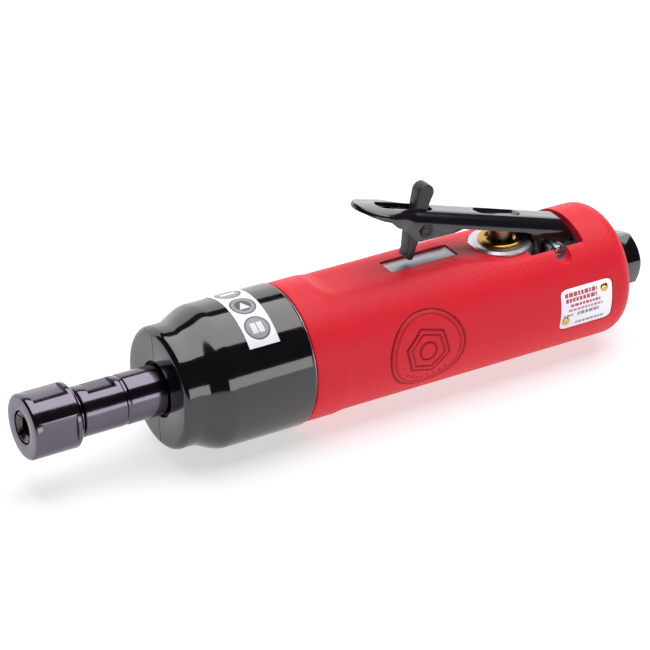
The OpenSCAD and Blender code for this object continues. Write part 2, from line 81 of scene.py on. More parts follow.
# where the valve stands along the body, and the hinge pin's (x, z), in millimetres
VALVE_X = 176.5
HINGE = (192.5, 16.2)


# ---------- materials ----------

def linear(hex_colour: str) -> tuple[float, float, float, float]:
    """Turns an sRGB hex colour into the linear values that the shaders take.

    Args:
        hex_colour: six hex digits, such as "c9a95a".

    Returns:
        Red, green, blue and alpha, linear.
    """
    parts = [int(hex_colour[i:i + 2], 16) / 255 for i in (0, 2, 4)]
    r, g, b = [c / 12.92 if c <= 0.04045 else ((c + 0.055) / 1.055) ** 2.4 for c in parts]
    return (r, g, b, 1.0)


def add(tree: bpy.types.NodeTree, kind: str, sockets: Optional[dict] = None,
        **settings: object) -> bpy.types.Node:
    """Adds one node with its settings and links.

    Args:
        tree: the node tree.
        kind: the node's type without its "ShaderNode" prefix.
        sockets: input name or index to a value, or to the output socket that feeds it.
        settings: properties of the node.

    Returns:
        The new node.
    """
    node = tree.nodes.new("ShaderNode" + kind)
    for name, value in settings.items():
        setattr(node, name, value)
    for key, value in (sockets or {}).items():
        if isinstance(value, bpy.types.NodeSocket):
            tree.links.new(value, node.inputs[key])
        else:
            node.inputs[key].default_value = value
    return node


class Grain(Enum):
    """How a surface was made, which sets the pattern that it carries."""

    TURNED = "rings left by a lathe tool, about the spindle axis"
    BRUSHED = "straight fine scratches along the body"
    LEATHER = "pebbled cells of a textured mould"
    SPRAYED = "faint waviness of a sprayed or dipped coat"
    FINE = "fine isotropic speckle of a blasted, cast or moulded face"


@dataclass(frozen=True)
class Finish:
    """One finish: what it is made of, how its surface was worked, and any painted shade in its moulded
    grooves.
    """

    name: str
    colour: str
    grain: Grain
    grain_mm: float
    relief_mm: float
    roughness: float
    metallic: float = 0.0
    rough_spread: float = 0.06
    tint_spread: float = 0.12
    mottle_mm: float = 9.0
    coat: float = 0.0
    specular: float = 0.5
    # painted shade: the colour that moulded grooves are darkened towards, none if empty
    groove_colour: str = ""

    def pattern(self, tree: bpy.types.NodeTree, place: bpy.types.NodeSocket) -> bpy.types.NodeSocket:
        """Draws the surface's own pattern.

        Args:
            tree: the material's node tree.
            place: object coordinates, in metres.

        Returns:
            A socket from 0 to 1 that carries the pattern's height.
        """
        fine = 1 / (self.grain_mm * MM)
        if self.grain is Grain.LEATHER:
            warp = add(tree, "TexNoise", {"Vector": place, "Scale": fine * 0.35, "Detail": 2.0})
            bent = add(tree, "VectorMath", {0: warp.outputs["Color"], 1: (0.9, 0.9, 0.9)},
                       operation="MULTIPLY")
            scaled = add(tree, "VectorMath", {0: place, 1: (fine, fine, fine)}, operation="MULTIPLY")
            moved = add(tree, "VectorMath", {0: scaled.outputs[0], 1: bent.outputs[0]}, operation="ADD")
            cells = add(tree, "TexVoronoi", {"Vector": moved.outputs[0], "Scale": 1.0}, feature="SMOOTH_F1")
            return add(tree, "MapRange", {"Value": cells.outputs["Distance"], "From Min": 0.1,
                                          "From Max": 0.75, "To Min": 1.0, "To Max": 0.0}).outputs[0]
        stretch = {Grain.TURNED: (fine, fine * 0.004, fine * 0.004),
                   Grain.BRUSHED: (fine * 0.03, fine, fine)}.get(self.grain, (fine, fine, fine))
        scaled = add(tree, "VectorMath", {0: place, 1: stretch}, operation="MULTIPLY")
        return add(tree, "TexNoise", {"Vector": scaled.outputs[0], "Scale": 1.0, "Detail": 3.0,
                                      "Roughness": 0.55}).outputs["Fac"]

    def make(self) -> bpy.types.Material:
        """Builds the material.

        Returns:
            A node material: mottled colour, painted shade in grooves where asked, varied roughness, the
                pattern as bump.
        """
        made = bpy.data.materials.new(self.name)
        made.use_nodes = True
        tree = made.node_tree
        tree.nodes.clear()
        place = add(tree, "TexCoord").outputs["Object"]
        height = self.pattern(tree, place)
        mottle = add(tree, "TexNoise", {"Vector": place, "Scale": 1 / (self.mottle_mm * MM), "Detail": 4.0})
        base = Vector(linear(self.colour)[:3])
        shades = [tuple(base * (1 + k * self.tint_spread)) + (1.0,) for k in (-1, 1)]
        colour = add(tree, "Mix", {0: mottle.outputs["Fac"], 6: shades[0], 7: shades[1]},
                     data_type="RGBA").outputs[2]
        # painted shade: the colour darkens along the grooves that the mesh marks, standing in for the shade
        # in those creases
        if self.groove_colour:
            groove = add(tree, "Attribute", attribute_name="groove").outputs["Fac"]
            colour = add(tree, "Mix", {0: groove, 6: colour, 7: linear(self.groove_colour)},
                         data_type="RGBA").outputs[2]
        both = add(tree, "Math", {0: height, 1: mottle.outputs["Fac"]}, operation="ADD").outputs[0]
        rough = add(tree, "MapRange", {"Value": both, "From Min": 0.5, "From Max": 1.5,
                                       "To Min": max(self.roughness - self.rough_spread, 0.03),
                                       "To Max": self.roughness + self.rough_spread}).outputs[0]
        bump = add(tree, "Bump", {"Height": height, "Distance": self.relief_mm * MM,
                                  "Strength": 1.0}).outputs[0]
        skin = add(tree, "BsdfPrincipled", {"Base Color": colour, "Roughness": rough, "Normal": bump,
                                            "Metallic": self.metallic, "Coat Weight": self.coat,
                                            "Specular IOR Level": self.specular,
                                            "Coat Roughness": 0.05})
        add(tree, "OutputMaterial", {"Surface": skin.outputs[0]})
        return made


# Grain sizes are in millimetres. Lathe feeds, grinding lines and blast grit are really 0.05 to 0.1 mm, and
# are drawn three to five times as coarse, so that they show.
FINISHES = {
    # turned steel under a glossy black oxide: near-black metal that mirrors the lamps in bands
    "blackened_steel": Finish("black_oxide_turned_steel", "655e69", Grain.TURNED, 0.35, 0.0012, 0.14, 1.0),
    # hardened tool steel, ground then darkened: a little greyer and duller than the nut
    "hardened_steel": Finish("hardened_tool_steel", "5a5658", Grain.TURNED, 0.25, 0.0015, 0.24, 1.0),
    # centreless-ground steel: bright, with a fine even speckle
    "ground_steel": Finish("ground_steel", "c4c4c8", Grain.FINE, 0.3, 0.001, 0.22, 1.0),
    # hobbed alloy steel wet with oil: mid grey and satin
    "gear_steel": Finish("hobbed_alloy_steel", "9a9a9e", Grain.FINE, 0.4, 0.002, 0.3, 1.0),
    # lapped bearing steel: mirror bright
    "bearing_steel": Finish("lapped_bearing_steel", "d2d2d6", Grain.FINE, 0.6, 0.0004, 0.09, 1.0),
    # pressed brass strip
    "brass_cage": Finish("pressed_brass", "c8a24e", Grain.FINE, 0.5, 0.002, 0.28, 1.0),
    # gloss black enamel sprayed on the casting: deep black under sharp soft-box bands
    "black_enamel": Finish("gloss_black_enamel", "0c0a0d", Grain.SPRAYED, 2.6, 0.0016, 0.085, 0.0,
                           rough_spread=0.025, tint_spread=0.2, specular=0.85),
    # nitrile rubber: flat black
    "black_rubber": Finish("nitrile_rubber", "161416", Grain.FINE, 0.5, 0.01, 0.65),
    # ground cast iron
    "cast_end_plate": Finish("ground_cast_iron", "88888c", Grain.FINE, 0.6, 0.006, 0.4, 1.0),
    # phenolic cloth laminate: brown and matt
    "vane_laminate": Finish("phenolic_cloth_laminate", "7a5a38", Grain.BRUSHED, 0.5, 0.01, 0.55),
    # turned aluminium: pale and satin, with a soft even speckle
    "body_aluminium": Finish("turned_aluminium", "c6c5ca", Grain.FINE, 0.5, 0.001, 0.36, 1.0),
    # moulded polyurethane rubber with a fine leather grain: satin red with broad pink sheen, and painted
    # shade (7a0a18) darkening its emblem's grooves
    "red_rubber": Finish("leather_grained_red_rubber", "d6202f", Grain.LEATHER, 0.75, 0.07, 0.47,
                         rough_spread=0.05, tint_spread=0.035, mottle_mm=18.0, groove_colour="7a0a18",
                         specular=0.22),
    # brushed aluminium strip: matt grey with fine lines along it
    "strip_aluminium": Finish("brushed_aluminium_strip", "a9a9ae", Grain.BRUSHED, 0.3, 0.004, 0.42, 1.0),
    # printed satin aluminium plate
    "plate_aluminium": Finish("satin_aluminium_plate", "e4e2e8", Grain.BRUSHED, 0.25, 0.0015, 0.36, 0.85),
    # brass drive rivets with worn bright domes
    "rivet_brass": Finish("drive_rivet_brass", "c9ad62", Grain.FINE, 0.4, 0.003, 0.2, 1.0),
    # white vinyl film under a clear laminate
    "label_film": Finish("white_vinyl_film", "e9e8ec", Grain.SPRAYED, 2.0, 0.001, 0.32, tint_spread=0.02),
    # turned brass: warm gold ring
    "valve_brass": Finish("turned_valve_brass", "b48c44", Grain.FINE, 0.4, 0.002, 0.24, 1.0),
    # oil-stained steel plunger: bronze brown
    "plunger_steel": Finish("oil_stained_steel", "7d6a50", Grain.FINE, 0.8, 0.003, 0.25, 1.0, tint_spread=0.3,
                            mottle_mm=2.5),
    # drawn spring wire
    "spring_steel": Finish("drawn_spring_wire", "b4b4b8", Grain.FINE, 0.3, 0.002, 0.25, 1.0),
    # black lacquer baked on pressed steel: glossy, with the sheet's own slight waves
    "black_lacquer": Finish("baked_black_lacquer", "141116", Grain.SPRAYED, 3.2, 0.004, 0.13, 0.0,
                            rough_spread=0.03, tint_spread=0.2, coat=0.6),
    # phosphated steel: satin black, tumbled so that its edges are soft
    "satin_black_steel": Finish("phosphated_steel", "1c191d", Grain.FINE, 0.35, 0.004, 0.36,
                                tint_spread=0.25),
    # moulded black plastic
    "deflector_plastic": Finish("moulded_black_nylon", "19191b", Grain.FINE, 0.6, 0.008, 0.5),
}
PRINTS = {
    # inks printed on the plate and the label
    "red_ink": Finish("red_printing_ink", "c0485a", Grain.FINE, 0.3, 0.001, 0.45),
    "rose_ink": Finish("rose_printing_ink", "c08c9c", Grain.FINE, 0.3, 0.001, 0.45),
    "grey_ink": Finish("grey_printing_ink", "8f8d95", Grain.FINE, 0.3, 0.001, 0.45),
    "dark_ink": Finish("dark_grey_printing_ink", "4c4a52", Grain.FINE, 0.3, 0.001, 0.4),
    "pale_ink": Finish("pale_grey_printing_ink", "dcdae1", Grain.FINE, 0.3, 0.001, 0.4),
}
MATERIALS = {name: finish.make() for name, finish in {**FINISHES, **PRINTS}.items()}


# ---------- mesh tools ----------

def span(node: str) -> tuple[np.ndarray, np.ndarray]:
    """Gives a CAD node's lowest and highest corners in millimetres."""
    lo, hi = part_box(node)
    return np.array(lo) / MM, np.array(hi) / MM


def solid(name: str, points: np.ndarray, faces: Sequence[Sequence[int]]) -> bpy.types.Object:
    """Makes a mesh object from points in millimetres, with its faces turned outwards.

    Args:
        name: the object's name.
        points: an N x 3 array, in millimetres.
        faces: lists of point numbers.

    Returns:
        The new object, in metres.
    """
    mesh = bpy.data.meshes.new(name)
    mesh.from_pydata((np.asarray(points, float) * MM).tolist(), [], [list(map(int, f)) for f in faces])
    work = bmesh.new()
    work.from_mesh(mesh)
    bmesh.ops.recalc_face_normals(work, faces=work.faces)
    work.to_mesh(mesh)
    work.free()
    piece = bpy.data.objects.new(name, mesh)
    bpy.context.scene.collection.objects.link(piece)
    return piece


def eased(outline: Sequence[Point], radius: float, steps: int = 3) -> list[Point]:
    """Rounds the corners of a closed outline.

    Args:
        outline: points of the outline, in order.
        radius: how far back from each corner the rounding starts.
        steps: chords in each rounding.

    Returns:
        The outline with its sharp corners replaced by short curves.
    """
    points = [np.array(p, float) for p in outline]
    out: list[Point] = []
    for i, here in enumerate(points):
        before, after = points[i - 1] - here, points[(i + 1) % len(points)] - here
        la, lb = np.linalg.norm(before), np.linalg.norm(after)
        turn = 180 - math.degrees(math.acos(np.clip(before @ after / (la * lb), -1, 1)))
        if turn < 14 or here[1] == 0:
            out.append(tuple(here))
            continue
        a = here + before / la * min(radius, la * 0.45)
        b = here + after / lb * min(radius, lb * 0.45)
        for t in np.linspace(0, 1, steps + 1):
            out.append(tuple((1 - t) ** 2 * a + 2 * t * (1 - t) * here + t ** 2 * b))
    return out


def turned(name: str, outline: Sequence[Point], centre: Point = (0, 0, 0), axis: str = "X",
           sides: int = 192) -> bpy.types.Object:
    """Turns a closed outline about an axis.

    Args:
        name: the object's name.
        outline: (along, radius) points in millimetres. A radius of 0 closes on the axis.
        centre: a point on the axis.
        axis: "X", "Y" or "Z".
        sides: number of flats round the turn.

    Returns:
        The solid of revolution.
    """
    order = {"X": (0, 1, 2), "Y": (1, 2, 0), "Z": (2, 0, 1)}[axis]
    points, rings = [], []
    for along, radius in outline:
        count = 1 if radius < 1e-6 else sides
        rings.append(list(range(len(points), len(points) + count)))
        for k in range(count):
            angle = 2 * math.pi * k / sides
            p = [0.0, 0.0, 0.0]
            p[order[0]], p[order[1]], p[order[2]] = along, radius * math.cos(angle), radius * math.sin(angle)
            points.append(p)
    faces = []
    for i, ring in enumerate(rings):
        other = rings[(i + 1) % len(rings)]
        for k in range(sides):
            n = (k + 1) % sides
            quad = [ring[k % len(ring)], other[k % len(other)], other[n % len(other)], ring[n % len(ring)]]
            corners = list(dict.fromkeys(quad))
            if len(corners) > 2:
                faces.append(corners)
    return solid(name, np.array(points) + np.array(centre, float), faces)


def rod(start: float, end: float, radius: float, centre: Point = (0, 0, 0), axis: str = "X",
        sides: int = 48) -> bpy.types.Object:
    """Makes a plain round cutter.

    Args:
        start: where it starts along the axis, from the centre.
        end: where it ends.
        radius: its radius.
        centre: a point on the axis.
        axis: "X", "Y" or "Z".
        sides: number of flats round the turn.

    Returns:
        The cutter.
    """
    return turned("cutter", [(start, 0), (start, radius), (end, radius), (end, 0)], centre, axis, sides)


def arc(across: float, up: float, radius: float, start: float, end: float, count: int) -> list[Point]:
    """Gives points on an arc.

    Args:
        across: first coordinate of its centre.
        up: second coordinate of its centre.
        radius: its radius.
        start: angle of the first point, in degrees.
        end: angle of the last point.
        count: number of points.

    Returns:
        The points, in order.
    """
    return [(across + radius * math.cos(a), up + radius * math.sin(a))
            for a in np.radians(np.linspace(start, end, count))]


def grid(name: str, layers: np.ndarray, wrap: tuple[bool, bool], cap: bool = False) -> bpy.types.Object:
    """Makes a mesh from a rows x columns grid of points.

    Args:
        name: the object's name.
        layers: an array of rows x columns x 3, in millimetres.
        wrap: whether the rows and the columns join end to start.
        cap: closes the first and last rows with one face each.

    Returns:
        The new object.
    """
    rows, cols = layers.shape[:2]
    faces = []
    for i in range(rows if wrap[0] else rows - 1):
        for k in range(cols if wrap[1] else cols - 1):
            j, n = (i + 1) % rows, (k + 1) % cols
            faces.append((i * cols + k, i * cols + n, j * cols + n, j * cols + k))
    if cap:
        faces.append(tuple(range(cols)))
        faces.append(tuple((rows - 1) * cols + k for k in reversed(range(cols))))
    return solid(name, layers.reshape(-1, 3), faces)


def plate(name: str, outline: Sequence[Point], lo: float, hi: float, axis: str = "Y") -> bpy.types.Object:
    """Gives a flat outline a thickness.

    Args:
        name: the object's name.
        outline: points in the plane across the axis: (x, z) for "Y", (x, y) for "Z", (y, z) for "X".
        lo: where the thickness starts along the axis.
        hi: where it ends.
        axis: the axis of the thickness.

    Returns:
        A closed prism.
    """
    put = {"X": lambda p, t: (t, *p), "Y": lambda p, t: (p[0], t, p[1]), "Z": lambda p, t: (*p, t)}[axis]
    layers = np.array([[put(p, t) for p in outline] for t in (lo, hi)])
    return grid(name, layers, (False, True), cap=True)


def block(name: str, lo: Point, hi: Point, roll: float = 0.0) -> bpy.types.Object:
    """Makes a box between two corners.

    Args:
        name: the object's name.
        lo: its lowest corner, in millimetres.
        hi: its highest corner.
        roll: how far it is rolled about the spindle axis, in degrees.

    Returns:
        The box.
    """
    corners = [(lo[0], lo[1]), (hi[0], lo[1]), (hi[0], hi[1]), (lo[0], hi[1])]
    piece = plate(name, corners, lo[2], hi[2], "Z")
    piece.rotation_euler = Euler((math.radians(roll), 0, 0))
    return piece


def settle(piece: bpy.types.Object) -> bpy.types.Object:
    """Applies a piece's modifiers to its mesh.

    Args:
        piece: the object.

    Returns:
        The same piece.
    """
    bpy.context.view_layer.update()
    seen = piece.evaluated_get(bpy.context.evaluated_depsgraph_get())
    final = bpy.data.meshes.new_from_object(seen)
    piece.modifiers.clear()
    piece.data = final
    return piece


def carve(piece: bpy.types.Object, tools: Sequence[bpy.types.Object], operation: str = "DIFFERENCE") -> None:
    """Cuts, adds or intersects solids, one after another, and throws the tools away.

    Args:
        piece: the object that is worked on.
        tools: the solids that work on it.
        operation: "DIFFERENCE", "UNION" or "INTERSECT".
    """
    for tool in tools:
        step = piece.modifiers.new("carve", "BOOLEAN")
        step.operation, step.object, step.solver = operation, tool, "MANIFOLD"
        settle(piece)
        bpy.data.objects.remove(tool)


def soften(piece: bpy.types.Object, width: float, angle: float = 35.0, segments: int = 2) -> None:
    """Rounds the edges that are sharper than an angle.

    Args:
        piece: the object.
        width: width of the rounding, in millimetres.
        angle: the least angle between faces that counts as an edge, in degrees.
        segments: facets in the rounding.
    """
    step = piece.modifiers.new("soften", "BEVEL")
    step.width, step.segments, step.limit_method = width * MM, segments, "ANGLE"
    step.angle_limit = math.radians(angle)
    settle(piece)


def shade(piece: bpy.types.Object, angle: float) -> None:
    """Shades a piece smooth, with edges sharper than the angle kept."""
    piece.data.shade_smooth()
    piece.data.set_sharp_from_angle(angle=math.radians(angle))


def place_on(piece: bpy.types.Object, node: str, angle: float = 32.0, stands_in: bool = True,
             material: str = "") -> bpy.types.Object:
    """Finishes a piece: material, shading, the body it rides on and the CAD node it stands for.

    Args:
        piece: the object.
        node: the CAD node whose body and finish it takes.
        angle: edges sharper than this stay sharp, in degrees.
        stands_in: hides the CAD node, because this piece stands for it.
        material: a finish other than the node's own.

    Returns:
        The same piece.
    """
    piece.data.materials.clear()
    piece.data.materials.append(MATERIALS[material or SLOT_OF[node]])
    shade(piece, angle)
    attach(piece, BODY_OF[node])
    if stands_in:
        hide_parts(node)
    LOG.info("%s: %d faces, rides on %s", piece.name, len(piece.data.polygons), BODY_OF[node])
    return piece


def bars_across(turn: float, flats: float, x0: float, x1: float,
                reach: float = 30.0) -> list[bpy.types.Object]:
    """Makes the two cutters that leave a pair of wrench flats.

    Args:
        turn: angle of the flats about the spindle axis, in degrees.
        flats: width across them.
        x0: where they start.
        x1: where they end.
        reach: half the size of each cutter.

    Returns:
        Two blocks, one on each side.
    """
    return [block("cutter", (x0, -reach, flats / 2), (x1, reach, flats / 2 + 10), turn + side)
            for side in (0, 180)]


# ---------- collet, nut and spindle ----------

@dataclass
class Chuck:
    """The collet, its nut and the end of the spindle."""

    nut_flats: float = 19.3
    nut_turn: float = -3.3
    nut_wall_front: float = 2.6
    nut_wall_rear: float = 2.2
    mouth: float = 5.55
    bore: float = 3.0
    spindle_flats: float = 14.0
    spindle_turn: float = -7.0
    orbit: float = 10.8

    def nut(self) -> None:
        """Turns the nut, mills its four flats and breaks its edges."""
        length, r, _ = span("collet_nut")[1]
        outline = [(0, self.mouth), (0, r - 0.6), (0.6, r), (length - 1, r), (length, r - 0.9),
                   (length, 7.15), (4.6, 7.15), (4.6, 6.7), (2.5, self.mouth)]
        piece = turned("nut", eased(outline, 0.25), sides=256)
        for turn in (self.nut_turn, self.nut_turn + 90):
            carve(piece, bars_across(turn, self.nut_flats, self.nut_wall_front, length - self.nut_wall_rear))
        soften(piece, 0.09, 40)
        place_on(piece, "collet_nut")

    def collet(self) -> None:
        """Turns the slit collet, with a countersunk mouth that stays dark."""
        length = span("collet")[1][0]
        inner = self.bore + 0.02
        outline = [(1.5, inner), (0.3, 4.75), (0.3, 5.0), (0.6, 5.15), (2.6, 5.2), (4.4, 6.2), (5.4, 6.2),
                   (12.4, 5.0), (length, 5.0), (length, inner)]
        piece = turned("collet_jaws", eased(outline, 0.12), sides=160)
        for turn in (38, 128):
            carve(piece, [block("cutter", (-0.2, -0.35, -7), (14, 0.35, 7), turn)])
        place_on(piece, "collet")

    def spindle(self) -> None:
        """Turns the output spindle with its carrier flange, flats and pin holes."""
        r, seat, flange = 8.25, 8.47, span("output_spindle")[1][1]
        outline = [(5.2, 6.4), (5.2, 6.8), (5.6, 7.03), (18.2, 7.03), (18.2, r - 0.5), (18.7, r), (32.9, r),
                   (33.4, r - 0.5), (34.2, r - 0.5), (34.6, r), (50.3, r), (50.4, seat), (69.6, seat),
                   (69.6, 11), (70.2, 11), (70.2, flange), (73.2, flange), (73.2, 0), (30, 0), (28, 4),
                   (21, 4), (21, 5.1), (12.5, 5.1)]
        piece = turned("spindle_shaft", eased(outline, 0.2), sides=224)
        carve(piece, bars_across(self.spindle_turn, self.spindle_flats, 21.6, 31.5))
        for k in range(3):
            angle = math.radians(120 * k)
            centre = (0, -self.orbit * math.sin(angle), self.orbit * math.cos(angle))
            carve(piece, [rod(70, 73.4, 2.01, centre)])
        soften(piece, 0.08, 40)
        place_on(piece, "output_spindle")

    def build(self) -> None:
        """Makes the three pieces."""
        self.nut()
        self.collet()
        self.spindle()


# ---------- front housing and its label ----------

@dataclass
class FrontHousing:
    """The enamelled casting round the gears, with its seal and its label."""

    nose_r: float = 20.3
    nose_round: float = 2.4
    scribe_turn: float = -7.0
    shoulder_start: float = 53.0
    shoulder_len: float = 11.6
    rear_round: float = 1.3
    label_low: float = 42.0
    label_high: float = 121.0
    disc_r: float = 4.35
    disc_places: tuple[float, ...] = (57.5, 81.5, 105.5)

    def shell(self) -> None:
        """Turns the housing: a flat nose, a rolled edge, a flared shoulder and a plain rear."""
        lo, hi = span("front_housing")
        x0, x1, r = lo[0], hi[0], hi[1]
        e = self.nose_round
        outline = [(x0, 9.4), (x0, self.nose_r - e), *arc(x0 + e, self.nose_r - e, e, 172, 90, 14)]
        for t in np.linspace(0, 1, 30):
            outline.append((self.shoulder_start + self.shoulder_len * t,
                            self.nose_r + (r - self.nose_r) * (1 - math.cos(math.pi * t)) / 2))
        e = self.rear_round
        outline += arc(x1 - e, r - e, e, 90, 8, 8)
        outline += [(x1, 21), (73.5, 21), (73.5, 17.5), (50.5, 17.5), (50.5, 12), (48.6, 12), (48.6, 9.4)]
        piece = turned("gear_casting", eased(outline, 0.2), sides=288)
        scribe = block("cutter", (x0 - 1, -0.14, -30), (x0 + 0.16, 0.14, 30), self.scribe_turn)
        scribe.location.y = 0.5 * MM
        carve(piece, [scribe])
        place_on(piece, "front_housing")

    def wrap(self, name: str, width: Callable[[float], float], high: float, angle: float, r_in: float,
             r_out: float, along: float = 0.0) -> bpy.types.Object:
        """Wraps a flat print round the housing.

        Args:
            name: the piece's name.
            width: half the print's width along X, for a share of its half height from -1 to 1.
            high: half its height, measured round the housing.
            angle: where its centre stands, in degrees up from -Y.
            r_in: radius of its underside.
            r_out: radius of its face.
            along: how far its centre stands behind the label's middle.

        Returns:
            The wrapped film.
        """
        mid = (span("cover_label")[0][0] + span("cover_label")[1][0]) / 2 + along
        rows = []
        for share in np.sin(np.linspace(-math.pi / 2, math.pi / 2, 25)):
            turn, w = math.radians(angle) + share * high / r_out, max(width(share), 0.01)
            loop = ((-w, r_out), (w, r_out), (w, r_in), (-w, r_in))
            rows.append([(mid + x, -r * math.cos(turn), r * math.sin(turn)) for x, r in loop])
        return grid(name, np.array(rows), (False, True), cap=True)

    def label(self) -> None:
        """Lays the white film with three plain discs, each with its own plain mark."""
        lo, hi = span("cover_label")
        r = hi[2]
        turns = np.radians(np.linspace(self.label_low, self.label_high, 72))
        loop = [(r - 0.12, lo[0]), (r - 0.02, lo[0]), (r - 0.02, hi[0]), (r - 0.12, hi[0])]
        layers = np.array([[(x, -q * math.cos(t), q * math.sin(t)) for q, x in loop] for t in turns])
        place_on(grid("label_film", layers, (False, True), cap=True), "cover_label")
        for i, angle in enumerate(self.disc_places):
            for share, ink, lift in ((1.0, "dark_ink", 0.0), (0.88, "grey_ink", 0.006)):
                half = self.disc_r * share
                piece = self.wrap(f"label_disc_{i + 1}_{ink}", lambda t, w=half: w * math.sqrt(1 - t * t),
                                  half, angle, r - 0.06, r - 0.014 + lift)
                place_on(piece, "cover_label", stands_in=False, material=ink)
        low, mid, top = self.disc_places
        # name, half width at a height share, half height, angle, place along the body, ink
        marks = [("page_left", lambda t: 0.95, 1.9, low, -1.15, "pale_ink"),
                 ("page_right", lambda t: 0.95, 1.9, low, 1.15, "pale_ink"),
                 ("ring_field", lambda t: 2.7 * math.sqrt(1 - t * t), 2.7, mid, 0.0, "dark_ink"),
                 ("wedge", lambda t: 1.9 * (1 - t) / 2, 1.7, mid, 0.0, "pale_ink"),
                 ("bar", lambda t: 2.5, 1.0, top, 0.0, "pale_ink")]
        for k, (name, width, high, angle, along, ink) in enumerate(marks):
            piece = self.wrap(f"label_{name}", width, high, angle, r - 0.05, r - 0.004 + 0.001 * k, along)
            place_on(piece, "cover_label", stands_in=False, material=ink)

    def build(self) -> None:
        """Makes the housing and its label."""
        self.shell()
        self.label()


# ---------- grip ----------

@dataclass
class Grip:
    """The moulded rubber grip, its wear strip and its nameplate."""

    radius: float = 22.8
    collar: float = 23.3
    bore: float = 19.85
    lip_r: float = 16.3
    rear_long: float = 7.3
    rear_deep: float = 7.6
    emblem_x: float = 134.6
    emblem_r: float = 14.0
    plate_mid_z: float = -0.15
    plate_high: float = 14.75

    def ceiling(self, x: np.ndarray) -> np.ndarray:
        """Gives the height at which the top is cut flat.

        Args:
            x: stations along the body.

        Returns:
            The heights.
        """
        stops = [102, 103.5, 105.5, 109, 155.5, 160, 173, 200.5, 200.9, 201.2]
        heights = [26, 23.6, 22.2, 21.1, 21.1, 20.4, 18.45, 18.45, 24, 26]
        return np.interp(x, stops, heights)

    def relief(self, x: np.ndarray, turn: np.ndarray) -> tuple[np.ndarray, np.ndarray]:
        """Works out the moulded emblem: a double ring round a plain hexagon nut and a row of dots.

        Args:
            x: stations along the body.
            turn: angles up from -Y, in radians.

        Returns:
            How far the surface stands out, and how deep its grooves run from 0 to 1, which also sets their
            painted shade.
        """
        u, v = x - self.emblem_x, self.radius * turn
        rho = np.hypot(u, v)
        hexagon = np.max([np.abs(u * math.cos(a) + v * math.sin(a))
                          for a in np.radians((15, 75, 135))], axis=0)

        def line(distance: np.ndarray, at: float, width: float) -> np.ndarray:
            """Draws a sunken line along a distance field, for the relief and its painted shade."""
            return np.exp(-((distance - at) / width) ** 2)

        grooves = [line(rho, self.emblem_r, 0.36), 0.7 * line(rho, self.emblem_r - 1.6, 0.3),
                   line(hexagon, 7.2, 0.34), 0.8 * line(hexagon, 5.6, 0.3), line(rho, 3.1, 0.34)]
        for a in np.radians(np.arange(-132, -47, 12)):
            dot = np.hypot(u - 10.5 * math.cos(a), v - 10.5 * math.sin(a))
            grooves.append(0.8 * np.exp(-(dot / 0.5) ** 2))
        dark = np.clip(np.max(grooves, axis=0), 0, 1)
        inside = np.clip((self.emblem_r - rho) / 0.8, 0, 1)
        band = np.clip((hexagon - 5.6) / 0.4, 0, 1) * np.clip((7.2 - hexagon) / 0.4, 0, 1)
        return 0.1 * inside + 0.14 * band - 0.42 * dark, dark

    def sleeve(self) -> None:
        """Moulds the sleeve: round sides, a flattened top with a trench, a rolled rear and an emblem."""
        lo, hi = span("grip_sleeve")
        x0, x1, e = lo[0], hi[0], self.rear_long
        steps = [(x0 + 0.5, 119, 0.8), (119, 150.5, 0.27), (150.5, 199.6, 0.8), (199.6, 202, 0.15),
                 (202, x1 - e, 0.8)]
        xs = np.concatenate([[x0, x0 + 0.15, x0 + 0.35]] + [np.arange(a, b, d) for a, b, d in steps])
        bend = np.radians(np.linspace(90, 12, 13))
        xs = np.concatenate([xs, x1 - e + e * np.cos(bend)])
        round_r = np.interp(xs, [x0, x0 + 0.15, x0 + 0.35, x0 + 0.9, 104, 108],
                            [self.collar - 0.75, self.collar - 0.4, self.collar - 0.15, self.collar,
                             self.collar, self.radius])
        round_r[-13:] = self.radius - self.rear_deep * (1 - np.sin(bend))
        pieces = [(-42, 42, 0.7), (42, 138, 1.3), (138, 318, 2.4)]
        turns = np.radians(np.concatenate([np.arange(a, b, d) for a, b, d in pieces]))
        x, turn = np.meshgrid(xs, turns, indexing="ij")
        r = np.repeat(round_r[:, None], len(turns), axis=1)
        up = np.maximum(np.sin(turn), 1e-3)
        tops = np.repeat(self.ceiling(xs)[:, None], len(turns), axis=1)
        flat = np.where(np.sin(turn) > 0.2, tops / up, 99.0)
        blend = 1.1
        h = np.clip(0.5 + 0.5 * (flat - r) / blend, 0, 1)
        r = flat * (1 - h) + r * h - blend * h * (1 - h)
        r = np.where(x < 205, np.maximum(r, self.bore + 0.25), r)
        out, dark = self.relief(x, np.where(turn > math.pi, turn - 2 * math.pi, turn))
        r = r + out
        outer = np.stack([x, -r * np.cos(turn), r * np.sin(turn)], axis=-1)
        inner = []
        for sx, sr in ((x1 - 0.02, self.lip_r + 0.3), (x1 - 0.1, self.lip_r + 0.1), (x1 - 0.5, self.lip_r),
                       (213.1, self.lip_r), (213.1, self.bore), (150, self.bore), (x0, self.bore)):
            inner.append([(sx, -sr * math.cos(t), sr * math.sin(t)) for t in turns])
        piece = grid("grip", np.concatenate([outer, np.array(inner)]), (True, True))
        # painted shade: the grooves' mask is stored on the mesh, so that the rubber's colour darkens in them
        groove = np.zeros(len(piece.data.vertices), np.float32)
        groove[:dark.size] = dark.ravel()
        piece.data.attributes.new("groove", "FLOAT", "POINT").data.foreach_set("value", groove)
        self.cut_openings(piece)
        place_on(piece, "grip_sleeve", angle=40)

